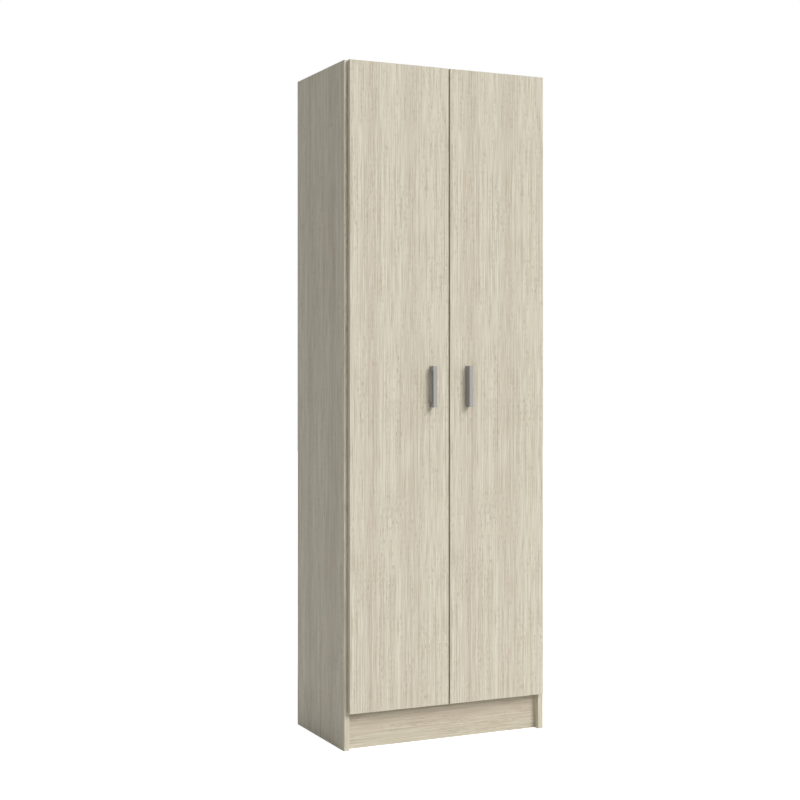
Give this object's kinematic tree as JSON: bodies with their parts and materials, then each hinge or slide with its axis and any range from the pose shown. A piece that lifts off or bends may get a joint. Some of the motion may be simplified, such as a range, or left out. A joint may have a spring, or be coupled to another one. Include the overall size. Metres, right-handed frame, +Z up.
{
  "type": "utility cabinet",
  "caption": "Tall narrow utility cabinet of pale oak laminate: two overlay doors on concealed hinges, angle handles, recessed kickboard and shelves inside.",
  "frame": {"origin": "on the floor, under the middle of the whole part's bounding box", "axes": "+Z up, +Y towards the back of the cabinet, +X to the right as seen from the front"},
  "size_m": [0.59, 0.395, 1.8],
  "materials": {
    "door_laminate": "matt oak laminate, vertical grain",
    "side_laminate": "matt oak laminate, vertical grain",
    "inner_laminate": "matt oak laminate, grain along the board",
    "kickboard_laminate": "matt oak laminate, horizontal grain",
    "hardboard": "printed hardboard",
    "strip_plastic": "extruded plastic",
    "handle_metal": "satin, brushed along the bar",
    "hinge_steel": "nickel plated",
    "screw_steel": "zinc plated",
    "cast_zinc": "die cast, satin",
    "bracket_steel": "galvanised",
    "bumper_plastic": "clear soft plastic",
    "dowel_wood": "plain beech"
  },
  "bodies": {
    "carcass": {"left_side_panel": "side_laminate", "right_side_panel": "side_laminate", "top_panel": "inner_laminate", "bottom_panel": "inner_laminate", "fixed_shelf": "inner_laminate", "lower_shelf": "inner_laminate", "upper_shelf": "inner_laminate", "top_shelf": "inner_laminate", "kickboard": "kickboard_laminate", "upper_back_panel": "hardboard", "lower_back_panel": "hardboard", "back_joining_strip": "strip_plastic", "left_hinge_arms": "hinge_steel", "right_hinge_arms": "hinge_steel", "left_mounting_plates": "cast_zinc", "right_mounting_plates": "cast_zinc", "left_plate_screws": "screw_steel", "right_plate_screws": "screw_steel", "left_arm_screws": "screw_steel", "right_arm_screws": "screw_steel", "cam_locks": "cast_zinc", "cam_bolts": "screw_steel", "panel_dowels": "dowel_wood", "kickboard_dowels": "dowel_wood", "shelf_pins": "screw_steel", "wall_bracket": "bracket_steel", "bracket_screw": "screw_steel"},
    "left_door_leaf": {"left_door": "door_laminate", "left_handle": "handle_metal", "left_handle_screws": "screw_steel", "left_door_bumpers": "bumper_plastic", "left_hinge_cups": "hinge_steel", "left_hinge_pins": "hinge_steel", "left_cup_screws": "screw_steel"},
    "right_door_leaf": {"right_door": "door_laminate", "right_handle": "handle_metal", "right_handle_screws": "screw_steel", "right_door_bumpers": "bumper_plastic", "right_hinge_cups": "hinge_steel", "right_hinge_pins": "hinge_steel", "right_cup_screws": "screw_steel"}
  },
  "joints": [
    {"name": "left_door_swing", "type": "hinge", "parent": "carcass", "child": "left_door_leaf", "pos_m": [-0.279, -0.1661, 0.949], "axis": [0, 0, -1], "range_deg": [0, 95]},
    {"name": "right_door_swing", "type": "hinge", "parent": "carcass", "child": "right_door_leaf", "pos_m": [0.279, -0.1661, 0.949], "axis": [0, 0, 1], "range_deg": [0, 95]}
  ]
}
